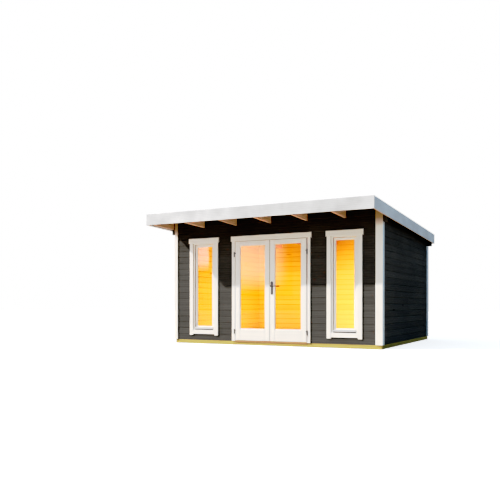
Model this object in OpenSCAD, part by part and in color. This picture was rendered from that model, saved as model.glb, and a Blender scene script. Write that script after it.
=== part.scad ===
// Garden office: a log cabin with a roof of one slope, glazed double doors and two tall windows.
// X runs to the right along the front, Y runs from the front to the back, Z is up.
// The origin is on the ground, under the middle of the floor.

/* [House] */
// Width over the log walls
house_w = 4110; // [3800:10:4500]
// Depth over the log walls
house_d = 3550; // [3000:10:4200]

/* [Log walls] */
// Thickness of a log
log_t = 44; // [38:1:56]
// Height that one course of logs covers
course_h = 114; // [110:1:122]
// Least height of the logs over the doorway and the windows, under the top log
lintel_h = 100; // [60:1:300]
// Courses by which the back wall is lower than the front wall
fall_courses = 1; // [1:1:2]
// Width of the open V joint between two courses
joint_w = 10; // [6:1:16]
// Depth of the open V joint
joint_d = 5; // [3:0.5:8]

/* [Base and floor] */
// Height of a base beam
beam_h = 70; // [60:1:90]
// Width of a base beam
beam_w = 70; // [65:1:100]
// Width of a floor joist
joist_w = 45; // [35:1:70]
// Number of floor joists
joist_count = 5; // [3:2:9]
// Thickness of the floor boards
floor_t = 19; // [15:1:26]
// Room left around the floor boards
floor_gap = 4; // [1:1:10]

/* [Roof] */
// Number of rafters
rafter_count = 7; // [5:2:9]
// Width of a rafter
rafter_w = 40; // [34:1:48]
// Height of a rafter
rafter_h = 140; // [120:1:160]
// Depth that a rafter is let into the lower part of a top log
notch_d = 14; // [8:1:24]
// Play on each side of a rafter in its notch
notch_play = 0.5; // [0.3:0.1:1]
// Roof edge in front of the front wall
front_overhang = 810; // [300:10:1000]
// Roof edge behind the back wall
back_overhang = 170; // [100:5:300]
// Roof edge beside each side wall
side_overhang = 111; // [100:1:160]
// Thickness of the roof boards
deck_t = 18; // [15:1:22]
// Thickness of the roof felt
felt_t = 4; // [2:0.5:6]
// Thickness of a fascia board
fascia_t = 19; // [15:1:25]
// Height of a fascia board
fascia_h = 200; // [185:1:240]
// Fascia that hangs below the rafters
fascia_drop = 27; // [5:1:60]

/* [Corner boards] */
// Thickness of the outside trim boards
trim_t = 20; // [16:1:24]
// Width of a corner board
corner_w = 122; // [80:1:150]
// Width of the front board at the left front corner
corner_narrow_w = 65; // [50:1:150]
// Width of a side board at the front corners
corner_side_w = 92; // [80:1:150]

/* [Double door] */
// Width of a door leaf
leaf_w = 709; // [600:1:760]
// Height of a door leaf
leaf_h = 1830; // [1700:1:1850]
// Thickness of a door leaf
leaf_t = 45; // [38:1:52]
// Width of the stile on the hinge side
hinge_stile_w = 108; // [90:1:130]
// Width of the stile on the lock side
lock_stile_w = 102; // [90:1:130]
// Height of the top rail
top_rail_h = 84; // [70:1:130]
// Height of the bottom rail
bottom_rail_h = 218; // [120:1:300]
// Gap between the two leaves
meeting_gap = 8; // [8:1:12]
// Gap between a leaf and what surrounds it
leaf_gap = 6; // [6:1:9]
// Thickness of a door jamb
jamb_t = 40; // [30:1:60]
// Reach of a doorstop past the jamb
stop_w = 16; // [12:1:25]
// Depth of a doorstop behind the leaf
stop_d = 13; // [10:1:25]
// Thickness of the threshold over the base beam
threshold_t = 10; // [8:1:16]
// Reach of the threshold's nose in front of the beam
nose_reach = 14; // [8:1:18]
// Height of the threshold's nose
nose_h = 26; // [20:1:60]
// Width of a door casing board
door_casing_w = 68; // [60:1:100]

/* [Windows] */
// Offset of a window towards the corner, from the middle of the wall between door and corner
window_shift = 29; // [-30:0.5:60]
// Width over a window frame
window_w = 530; // [480:1:560]
// Height over a window frame
window_h = 1724; // [1500:1:1730]
// Underside of a window frame above the ground
window_z = 232; // [225:1:300]
// Room around a frame in the wall
frame_fit = 3; // [1:1:8]
// Width of a window frame's bars
frame_w = 58; // [45:1:70]
// Depth of a window frame through the wall
frame_d = 62; // [60:1:80]
// Width of a sash's bars
sash_w = 42; // [38:1:60]
// Height of a sash's bottom rail
sash_foot_h = 48; // [40:1:80]
// Thickness of a sash
sash_t = 40; // [34:1:46]
// Setback of a sash from the wall's outer face
sash_set = 20; // [0:1:22]
// Play around a sash
sash_play = 3; // [2:0.5:5]
// Height of the drip rail at the foot of a sash
drip_h = 20; // [12:1:30]
// Fall of the drip rail's top
drip_fall = 5; // [2:1:8]
// Reach of the drip rail in front of the wall
drip_reach = 11; // [6:1:16]
// Depth that the drip rail's lip hangs below the foot of a sash
drip_hang = 11; // [4:1:13]
// Room between the drip rail's lip and the frame
lip_room = 1; // [0.5:0.5:2]
// Width of a window casing board
casing_w = 76; // [50:1:90]
// Height of the casing board under a window
apron_h = 80; // [50:1:100]
// Overlap of the casing boards on a window frame
casing_lap = 25; // [8:1:30]
// Overlap of the lower casing board on a window frame
apron_lap = 31; // [8:1:36]
// Overlap of the header board on a window frame
header_lap = 34; // [8:1:45]
// Length of the side casings below the lower casing board
casing_drop = 22; // [0:1:40]
// Height of the header boards over the door and the windows
header_h = 98; // [80:1:110]
// Thickness of the header boards
header_t = 26; // [20:1:30]
// Reach of a header past the side casings
header_over = 20; // [10:1:40]
// Width of the bevel along a header's top and ends
bevel_w = 6; // [4:1:20]
// Depth of the bevel
bevel_d = 6; // [4:1:14]

/* [Glass] */
// Thickness of the glass
glass_t = 6; // [4:1:20]
// Depth that a pane sits in its groove
glass_edge = 9; // [6:1:14]
// Room around a pane in its groove
glass_room = 0.3; // [0.2:0.1:0.6]

/* [Hinges and handle] */
// Radius of a hinge knuckle
knuckle_r = 8; // [7:0.5:9]
// Height of one hinge knuckle
knuckle_h = 44; // [30:1:60]
// Radius of a hinge pin
pin_r = 4; // [3:0.5:5]
// Running room around a hinge pin
pin_room = 0.1; // [0.05:0.01:0.1]
// Gap between the two knuckles of a hinge
knuckle_gap = 1; // [0.5:0.5:3]
// Distance of a hinge axis from the leaf's edge
hinge_set = 18; // [13:0.5:20]
// Room between a knuckle and the casing
knuckle_off = 1; // [1:0.5:3]
// Length of the strap on a leaf from the hinge axis
strap_len = 28; // [26:1:50]
// Length of the strap on the casing from the hinge axis
pin_strap_len = 10; // [8:1:40]
// Height of a hinge strap
strap_h = 14; // [10:1:40]
// Thickness of a hinge strap
strap_t = 3; // [2:0.5:4]
// Height of a lower hinge's middle above the foot of the leaf
hinge_rise = 164; // [100:1:300]
// Depth of an upper hinge's middle below the top of the leaf
hinge_drop = 238; // [100:1:300]
// Height of the lever above the ground
lever_z = 1080; // [950:1:1150]
// Distance of the lever's spindle from the leaf's edge
lever_set = 41; // [35:1:60]
// Width of the handle plate
plate_w = 46; // [36:1:60]
// Height of the handle plate
plate_h = 240; // [180:1:280]
// Thickness of the handle plate
plate_t = 6; // [4:0.5:10]
// Height of the plate above the lever's spindle
plate_rise = 84; // [50:1:120]
// Radius of the lever's neck
neck_r = 9; // [7:0.5:11]
// Running room around the neck and the spindle
neck_room = 0.3; // [0.2:0.1:0.6]
// Radius of the lever's spindle
spindle_r = 5; // [4:0.5:6]
// Distance of the lever's middle from the plate
lever_off = 45; // [30:1:60]
// Radius of the lever's bar
bar_r = 9; // [7:0.5:10]
// Radius of the hub at the lever's root
hub_r = 13; // [11:0.5:16]
// Length of the hub
hub_t = 22; // [19:1:28]
// Length of the lever from the spindle
lever_len = 104; // [90:1:150]

/* [Hidden] */
$fn = 48;
// Joint left between butted boards of one frame
board_gap = 0.5;
// A length past every edge of the house, for through cuts
past = 6000;

front_y = -house_d / 2;
back_y = house_d / 2;
side_x = house_w / 2;

leaf_z = beam_h + threshold_t + leaf_gap;
leaf_edge = meeting_gap / 2 + leaf_w;
clear_x = leaf_edge + leaf_gap;
head_z = leaf_z + leaf_h + leaf_gap;
opening_x = clear_x + jamb_t + frame_fit;
opening_z = head_z + jamb_t + frame_fit;
leaf_front = front_y - trim_t;
leaf_back = leaf_front + leaf_t;
stop_y = leaf_back + leaf_gap;
jamb_y = stop_y + stop_d;
floor_y = max(front_y + log_t, jamb_y) + floor_gap;
pane_y = leaf_front + (leaf_t - glass_t) / 2;

hinge_x = leaf_edge + hinge_set;
hinge_y = leaf_front - knuckle_off - knuckle_r;
lower_hinge_z = leaf_z + hinge_rise;
upper_hinge_z = leaf_z + leaf_h - hinge_drop;
lever_x = meeting_gap / 2 + lever_set;

door_reach = clear_x + door_casing_w + header_over;
corner_reach = side_x + trim_t - corner_w;
window_x = (door_reach + corner_reach) / 2 + window_shift;
window_top = window_z + window_h;
holes_top = max(opening_z, window_top + frame_fit);
front_courses = ceil((holes_top + lintel_h - beam_h) / course_h);
front_log_z = beam_h + front_courses * course_h;
back_log_z = front_log_z - fall_courses * course_h;
joint_total = front_courses + 4;

roof_slope = atan(fall_courses * course_h / house_d);
rafter_z = front_log_z + course_h - notch_d;
slope_d = house_d / cos(roof_slope);
roof_x = side_x + side_overhang;
deck_x = roof_x - fascia_t;
deck_y0 = -front_overhang + fascia_t;
deck_y1 = slope_d + back_overhang - fascia_t;
rafter_pitch = (2 * deck_x - rafter_w) / (rafter_count - 1);

// Heights of the log joints that lie inside a wall from z0 to z1
function log_joints(z0, z1) = [
    for (k = [1 : joint_total])
        let (z = beam_h + k * course_h)
            if (z > z0 + joint_w && z < z1 - joint_w) z
];

// Section of a log wall: a plank with a V joint at every course, on both faces
module log_section(z0, z1) {
    joints = log_joints(z0, z1);
    half = joint_w / 2;
    outer = [for (z = joints) each [[0, z - half], [joint_d, z], [0, z + half]]];
    inner = [
        for (i = [len(joints) - 1 : -1 : 0])
            let (z = joints[i])
                each [[log_t, z + half], [log_t - joint_d, z], [log_t, z - half]]
    ];
    polygon(concat([[0, z0]], outer, [[0, z1], [log_t, z1]], inner, [[log_t, z0]]));
}

// Log wall along X from x0 to x1, with its outer face at the front
module front_log_wall(x0, x1, z0, z1) {
    translate([x0, front_y, 0])
        rotate([90, 0, 90])
            linear_extrude(x1 - x0)
                log_section(z0, z1);
}

// Space tilted with the roof: Y down the slope, Z square to it, from the rafters' underside
module on_slope() {
    translate([0, front_y, rafter_z])
        rotate([-roof_slope, 0, 0])
            children();
}

// Everything above the underside of the roof boards
module above_deck() {
    on_slope()
        translate([-past, -past, rafter_h])
            cube([2 * past, 3 * past, past]);
}

module on_rafters() {
    for (i = [0 : rafter_count - 1])
        translate([-deck_x + rafter_w / 2 + i * rafter_pitch, 0, 0])
            children();
}

// Slots that hold the rafters, open upwards
module rafter_slots() {
    slot_w = rafter_w + 2 * notch_play;
    on_slope()
        on_rafters()
            translate([-slot_w / 2, -past, 0])
                cube([slot_w, 3 * past, past]);
}

// Box between two corners
module block(low, high) {
    translate(low)
        cube(high - low);
}

// Four bars round a rectangle in the XZ plane, with butted corners
module bar_frame(x0, x1, z0, z1, bar, y0, y1) {
    block([x0, y0, z0], [x0 + bar, y1, z1]);
    block([x1 - bar, y0, z0], [x1, y1, z1]);
    block([x0 + bar + board_gap, y0, z0], [x1 - bar - board_gap, y1, z0 + bar]);
    block([x0 + bar + board_gap, y0, z1 - bar], [x1 - bar - board_gap, y1, z1]);
}

module window_hole(side) {
    block([side * window_x - window_w / 2 - frame_fit, -past, window_z - frame_fit],
        [side * window_x + window_w / 2 + frame_fit, past, window_top + frame_fit]);
}

module front_base_beam() {
    color("darkkhaki")
        block([-side_x, front_y, 0], [side_x, front_y + beam_w, beam_h]);
}

module back_base_beam() {
    color("darkkhaki")
        block([-side_x, back_y - beam_w, 0], [side_x, back_y, beam_h]);
}

module side_beam() {
    block([-side_x, front_y + beam_w, 0], [-side_x + beam_w, back_y - beam_w, beam_h]);
}

module left_base_beam() {
    color("darkkhaki")
        side_beam();
}

module right_base_beam() {
    color("darkkhaki")
        mirror([1, 0, 0])
            side_beam();
}

module floor_joists() {
    span = house_w - 2 * beam_w;
    pitch = span / (joist_count + 1);
    color("darkkhaki")
        for (i = [1 : joist_count])
            translate([-span / 2 + i * pitch, 0, 0])
                block([-joist_w / 2, front_y + beam_w, 0], [joist_w / 2, back_y - beam_w, beam_h]);
}

module floor() {
    inset = log_t + floor_gap;
    color("burlywood")
        block([-side_x + inset, floor_y, beam_h], [side_x - inset, back_y - inset, beam_h + floor_t]);
}

module front_wall_left() {
    color("dimgray")
        difference() {
            front_log_wall(-side_x, -opening_x, beam_h, front_log_z);
            window_hole(-1);
        }
}

module front_wall_right() {
    color("dimgray")
        difference() {
            front_log_wall(opening_x, side_x, beam_h, front_log_z);
            window_hole(1);
        }
}

module front_wall_over_door() {
    color("dimgray")
        front_log_wall(-opening_x, opening_x, opening_z, front_log_z);
}

module back_wall() {
    color("dimgray")
        mirror([0, 1, 0])
            front_log_wall(-side_x, side_x, beam_h, back_log_z);
}

module side_wall() {
    color("dimgray")
        difference() {
            translate([-side_x, back_y - log_t, 0])
                rotate([90, 0, 0])
                    linear_extrude(house_d - 2 * log_t)
                        log_section(beam_h, front_log_z + 2 * course_h + rafter_h);
            above_deck();
        }
}

module left_wall() {
    side_wall();
}

module right_wall() {
    mirror([1, 0, 0])
        side_wall();
}

// Top log of the front wall: it reaches out under the outer rafters and rises between all of them
module front_top_log() {
    color("dimgray")
        difference() {
            front_log_wall(-deck_x, deck_x, front_log_z, front_log_z + course_h + 2 * rafter_h);
            above_deck();
            rafter_slots();
        }
}

module back_top_log() {
    color("dimgray")
        difference() {
            mirror([0, 1, 0])
                front_log_wall(-deck_x, deck_x, back_log_z, front_log_z + course_h + 2 * rafter_h);
            above_deck();
            rafter_slots();
        }
}

module rafters() {
    color("peru")
        on_slope()
            on_rafters()
                block([-rafter_w / 2, deck_y0, 0], [rafter_w / 2, deck_y1, rafter_h]);
}

module roof_boards() {
    color("tan")
        on_slope()
            block([-deck_x, deck_y0, rafter_h], [deck_x, deck_y1, rafter_h + deck_t]);
}

module roof_felt() {
    under = rafter_h + deck_t;
    color("darkslategray")
        on_slope()
            block([-deck_x, deck_y0, under], [deck_x, deck_y1, under + felt_t]);
}

module front_fascia() {
    color("white")
        on_slope()
            block([-roof_x, deck_y0 - fascia_t, -fascia_drop], [roof_x, deck_y0, fascia_h - fascia_drop]);
}

module back_fascia() {
    color("white")
        on_slope()
            block([-roof_x, deck_y1, -fascia_drop], [roof_x, deck_y1 + fascia_t, fascia_h - fascia_drop]);
}

module side_fascia() {
    on_slope()
        block([-roof_x, deck_y0, -fascia_drop], [-deck_x, deck_y1, fascia_h - fascia_drop]);
}

module left_fascia() {
    color("white")
        side_fascia();
}

module right_fascia() {
    color("white")
        mirror([1, 0, 0])
            side_fascia();
}

// Board on the wall's front face at the left corner, up to the roof boards
module corner_face_board(width) {
    difference() {
        block([-side_x - trim_t, front_y - trim_t, beam_h],
            [-side_x - trim_t + width, front_y, rafter_z + 2 * rafter_h]);
        above_deck();
    }
}

// Board on the left side wall at the front corner, up to the end of the top log
module corner_edge_board(width, top_z) {
    block([-side_x - trim_t, front_y + board_gap, beam_h], [-side_x, front_y + width, top_z]);
}

module front_left_corner_boards() {
    color("whitesmoke") {
        corner_face_board(corner_narrow_w);
        corner_edge_board(corner_side_w, front_log_z);
    }
}

module front_right_corner_boards() {
    color("whitesmoke")
        mirror([1, 0, 0]) {
            corner_face_board(corner_w);
            corner_edge_board(corner_side_w, front_log_z);
        }
}

module back_corner_boards() {
    difference() {
        block([-side_x - trim_t, back_y, beam_h],
            [-side_x - trim_t + corner_w, back_y + trim_t, front_log_z]);
        above_deck();
    }
    block([-side_x - trim_t, back_y - corner_w, beam_h], [-side_x, back_y - board_gap, back_log_z]);
}

module back_left_corner_boards() {
    color("whitesmoke")
        back_corner_boards();
}

module back_right_corner_boards() {
    color("whitesmoke")
        mirror([1, 0, 0])
            back_corner_boards();
}

module door_frame() {
    color("white") {
        for (side = [-1, 1])
            translate([side * (clear_x + jamb_t / 2), 0, 0])
                block([-jamb_t / 2, front_y, beam_h], [jamb_t / 2, jamb_y, head_z + jamb_t]);
        block([-clear_x + board_gap, front_y, head_z], [clear_x - board_gap, jamb_y, head_z + jamb_t]);
    }
}

module door_stops() {
    head_x = clear_x - stop_w - board_gap;
    color("white") {
        for (side = [-1, 1])
            translate([side * (clear_x - stop_w / 2), 0, 0])
                block([-stop_w / 2, stop_y, beam_h + threshold_t], [stop_w / 2, jamb_y, head_z]);
        block([-head_x, stop_y, head_z - stop_w], [head_x, jamb_y, head_z]);
    }
}

// Threshold over the base beam, with a nose that hangs in front of it
module door_threshold() {
    top_z = beam_h + threshold_t;
    inner = jamb_y - front_y;
    section = [
        [-nose_reach, top_z - nose_h], [0, top_z - nose_h], [0, beam_h],
        [inner, beam_h], [inner, top_z], [-nose_reach, top_z]
    ];
    color("sienna")
        translate([-clear_x + board_gap, front_y, 0])
            rotate([90, 0, 90])
                linear_extrude(2 * (clear_x - board_gap))
                    polygon(section);
}

// Header board over a casing that reaches from -x to x, its underside at z, bevelled along top and ends
module header(x, z) {
    end_x = x + header_over;
    rim_y = front_y - header_t + bevel_d;
    hull() {
        block([-end_x, rim_y, z], [end_x, front_y, z + header_h]);
        block([-end_x + bevel_w, front_y - header_t, z], [end_x - bevel_w, rim_y, z + header_h - bevel_w]);
    }
}

module door_casing() {
    outer_x = clear_x + door_casing_w;
    color("whitesmoke") {
        for (side = [-1, 1])
            translate([side * (clear_x + door_casing_w / 2), 0, 0])
                block([-door_casing_w / 2, front_y - trim_t, beam_h],
                    [door_casing_w / 2, front_y, head_z - board_gap]);
        header(outer_x, head_z);
    }
}

// Outline of the glass opening in the left leaf
function light_x0() = -leaf_edge + hinge_stile_w;
function light_x1() = -meeting_gap / 2 - lock_stile_w;
function light_z0() = leaf_z + bottom_rail_h;
function light_z1() = leaf_z + leaf_h - top_rail_h;

// Pane of the left leaf, grown by a room on all sides
module leaf_pane(room) {
    edge = glass_edge + room;
    block([light_x0() - edge, pane_y - room, light_z0() - edge],
        [light_x1() + edge, pane_y + glass_t + room, light_z1() + edge]);
}

module left_leaf_solid() {
    difference() {
        block([-leaf_edge, leaf_front, leaf_z], [-meeting_gap / 2, leaf_back, leaf_z + leaf_h]);
        block([light_x0(), -past, light_z0()], [light_x1(), past, light_z1()]);
        leaf_pane(glass_room);
    }
}

module left_door_leaf() {
    color("whitesmoke")
        left_leaf_solid();
}

module right_door_leaf() {
    color("whitesmoke")
        difference() {
            mirror([1, 0, 0])
                left_leaf_solid();
            translate([lever_x, 0, lever_z])
                rotate([90, 0, 0])
                    cylinder(r = spindle_r + neck_room, h = 2 * past, center = true);
        }
}

module left_door_glass() {
    color("lightblue", 0.4)
        leaf_pane(0);
}

module right_door_glass() {
    color("lightblue", 0.4)
        mirror([1, 0, 0])
            leaf_pane(0);
}

// Places each hinge of the left leaf with its axis along Z and the joint between its knuckles at 0
module on_left_hinges() {
    for (z = [lower_hinge_z, upper_hinge_z])
        translate([-hinge_x, hinge_y, z])
            children();
}

// Lower knuckle with its pin, on a strap that lies on the casing
module hinge_pin() {
    face = hinge_y - leaf_front;
    translate([0, 0, -knuckle_h - knuckle_gap / 2])
        cylinder(r = knuckle_r, h = knuckle_h);
    translate([0, 0, -knuckle_h])
        cylinder(r = pin_r, h = 2 * knuckle_h);
    translate([0, 0, -(knuckle_h + knuckle_gap) / 2])
        block([-pin_strap_len, -face - strap_t, -strap_h / 2], [0, -face, strap_h / 2]);
}

// Upper knuckle with its bore, on a strap that lies on the leaf
module hinge_knuckle() {
    face = hinge_y - leaf_front;
    difference() {
        union() {
            translate([0, 0, knuckle_gap / 2])
                cylinder(r = knuckle_r, h = knuckle_h);
            translate([0, 0, (knuckle_h + knuckle_gap) / 2]) {
                block([0, -face - strap_t - knuckle_off, -strap_h / 2],
                    [strap_len, -face - knuckle_off, strap_h / 2]);
                block([hinge_set + knuckle_off, -face - strap_t, -strap_h / 2],
                    [strap_len, -face, strap_h / 2]);
            }
        }
        cylinder(r = pin_r + pin_room, h = 4 * knuckle_h, center = true);
    }
}

module left_door_hinge_pins() {
    color("gray")
        on_left_hinges()
            hinge_pin();
}

module left_door_hinge_knuckles() {
    color("gray")
        on_left_hinges()
            hinge_knuckle();
}

module right_door_hinge_pins() {
    color("gray")
        mirror([1, 0, 0])
            on_left_hinges()
                hinge_pin();
}

module right_door_hinge_knuckles() {
    color("gray")
        mirror([1, 0, 0])
            on_left_hinges()
                hinge_knuckle();
}

// Space at the lever's spindle: Y through the leaf, 0 at the middle of its thickness
module at_lever() {
    translate([lever_x, (leaf_front + leaf_back) / 2, lever_z])
        children();
}

// Long plate with round ends, standing on its middle
module handle_plate() {
    cube([plate_w, plate_t, plate_h - plate_w], center = true);
    for (end = [-1, 1])
        translate([0, 0, end * (plate_h - plate_w) / 2])
            rotate([90, 0, 0])
                cylinder(d = plate_w, h = plate_t, center = true);
}

module door_handle_plates() {
    color("silver")
        at_lever()
            difference() {
                for (side = [-1, 1])
                    translate([0, side * (leaf_t + plate_t) / 2, plate_rise - plate_h / 2])
                        handle_plate();
                rotate([90, 0, 0])
                    cylinder(r = neck_r + neck_room, h = past, center = true);
            }
}

// Spindle through the leaf with a lever on each side
module door_lever() {
    reach = leaf_t / 2 + plate_t + lever_off;
    color("silver")
        at_lever() {
            rotate([90, 0, 0])
                cylinder(r = spindle_r, h = 2 * reach, center = true);
            for (side = [-1, 1]) {
                translate([0, side * (reach + leaf_t / 2) / 2, 0])
                    rotate([90, 0, 0])
                        cylinder(r = neck_r, h = reach - leaf_t / 2, center = true);
                translate([0, side * reach, 0]) {
                    rotate([90, 0, 0])
                        cylinder(r = hub_r, h = hub_t, center = true);
                    rotate([0, 90, 0])
                        cylinder(r = bar_r, h = lever_len - bar_r);
                    translate([lever_len - bar_r, 0, 0])
                        sphere(r = bar_r);
                }
            }
        }
}

module at_window(side) {
    translate([side * window_x, 0, 0])
        children();
}

module window_frame() {
    bar_frame(-window_w / 2, window_w / 2, window_z, window_top, frame_w, front_y, front_y + frame_d);
}

// Pane of a window, grown by a room on all sides
module window_pane(room) {
    x = window_w / 2 - frame_w - sash_play - sash_w + glass_edge + room;
    rise = frame_w + board_gap + sash_foot_h - glass_edge - room;
    y = front_y + sash_set + (sash_t - glass_t) / 2;
    top = window_top - frame_w - 2 * sash_play + board_gap - sash_w + glass_edge + room;
    block([-x, y - room, window_z + rise], [x, y + glass_t + room, top]);
}

// Sash that stands on the lower bar of its frame
// The lip of the drip rail along its foot hangs down in front of that bar
module window_sash() {
    x = window_w / 2 - frame_w - sash_play;
    lip_y = -sash_set - drip_reach;
    lip_back = -sash_set - lip_room;
    lip = [[lip_y, drip_h - drip_fall], [lip_y, -drip_hang], [lip_back, -drip_hang], [lip_back, 0]];
    z0 = window_z + frame_w + board_gap;
    z1 = window_top - frame_w - 2 * sash_play + board_gap;
    y0 = front_y + sash_set;
    difference() {
        union() {
            bar_frame(-x, x, z0, z1, sash_w, y0, y0 + sash_t);
            block([-x + sash_w + board_gap, y0, z0],
                [x - sash_w - board_gap, y0 + sash_t, z0 + sash_foot_h]);
        }
        window_pane(glass_room);
    }
    translate([-x, y0, z0])
        rotate([90, 0, 90])
            linear_extrude(2 * x)
                polygon(concat([[0, 0], [0, drip_h]], lip));
}

module window_casing() {
    inner_x = window_w / 2 - casing_lap;
    outer_x = inner_x + casing_w;
    apron_top = window_z + apron_lap;
    apron_z = apron_top - apron_h;
    header_z = window_top - header_lap;
    for (side = [-1, 1])
        translate([side * (inner_x + casing_w / 2), 0, 0])
            block([-casing_w / 2, front_y - trim_t, apron_z - casing_drop],
                [casing_w / 2, front_y, header_z - board_gap]);
    block([-inner_x + board_gap, front_y - trim_t, apron_z], [inner_x - board_gap, front_y, apron_top]);
    header(outer_x, header_z);
}

module left_window_frame() {
    color("white")
        at_window(-1)
            window_frame();
}

module left_window_sash() {
    color("white")
        at_window(-1)
            window_sash();
}

module left_window_glass() {
    color("lightblue", 0.4)
        at_window(-1)
            window_pane(0);
}

module left_window_casing() {
    color("whitesmoke")
        at_window(-1)
            window_casing();
}

module right_window_frame() {
    color("white")
        at_window(1)
            window_frame();
}

module right_window_sash() {
    color("white")
        at_window(1)
            window_sash();
}

module right_window_glass() {
    color("lightblue", 0.4)
        at_window(1)
            window_pane(0);
}

module right_window_casing() {
    color("whitesmoke")
        at_window(1)
            window_casing();
}

front_base_beam();
back_base_beam();
left_base_beam();
right_base_beam();
floor_joists();
floor();
front_wall_left();
front_wall_right();
front_wall_over_door();
back_wall();
left_wall();
right_wall();
front_top_log();
back_top_log();
rafters();
roof_boards();
roof_felt();
front_fascia();
back_fascia();
left_fascia();
right_fascia();
front_left_corner_boards();
front_right_corner_boards();
back_left_corner_boards();
back_right_corner_boards();
door_frame();
door_stops();
door_threshold();
door_casing();
left_door_leaf();
left_door_glass();
left_door_hinge_pins();
left_door_hinge_knuckles();
right_door_leaf();
right_door_glass();
right_door_hinge_pins();
right_door_hinge_knuckles();
door_handle_plates();
door_lever();
left_window_frame();
left_window_sash();
left_window_glass();
left_window_casing();
right_window_frame();
right_window_sash();
right_window_glass();
right_window_casing();
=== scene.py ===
import bmesh
import bpy
import itertools
import math
import random
from mathutils import Matrix, Vector


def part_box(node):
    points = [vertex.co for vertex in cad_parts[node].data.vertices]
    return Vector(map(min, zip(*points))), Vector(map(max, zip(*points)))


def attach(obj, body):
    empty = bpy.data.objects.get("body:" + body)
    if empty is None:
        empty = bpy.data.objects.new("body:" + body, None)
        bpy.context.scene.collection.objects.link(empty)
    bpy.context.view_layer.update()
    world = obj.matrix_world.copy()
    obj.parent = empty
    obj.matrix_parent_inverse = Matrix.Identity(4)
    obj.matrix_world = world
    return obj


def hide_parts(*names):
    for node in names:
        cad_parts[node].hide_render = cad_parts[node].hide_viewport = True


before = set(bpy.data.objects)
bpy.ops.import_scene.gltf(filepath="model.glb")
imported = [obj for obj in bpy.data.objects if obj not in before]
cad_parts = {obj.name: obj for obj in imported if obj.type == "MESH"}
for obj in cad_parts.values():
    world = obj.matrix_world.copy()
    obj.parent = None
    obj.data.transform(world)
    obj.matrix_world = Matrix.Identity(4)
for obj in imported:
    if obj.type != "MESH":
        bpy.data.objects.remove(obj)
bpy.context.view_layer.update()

# Base beams and joists: square-cut softwood, pressure treated to a yellow green, laid flat on the ground.
# The long beams run under the front and back walls, the side beams and the joists butt against them.
# The grain of every board runs along its length, and each board takes another stretch of the same figure.

beam_edge = 0.003
joist_count = 5
joist_w = 0.045
end_grain_stretch = 1.7
end_grain_shade = 0.5
chance = random.Random(7)


def next_figure():
    """Where on the grain map the next board lies, along and across, and its shade from -1 to 1."""
    return chance.uniform(0, 40), chance.uniform(0, 9), chance.uniform(-1, 1)


def added(name, data):
    """A new object in the scene."""
    thing = bpy.data.objects.new(name, data)
    bpy.context.scene.collection.objects.link(thing)
    return thing


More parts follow.
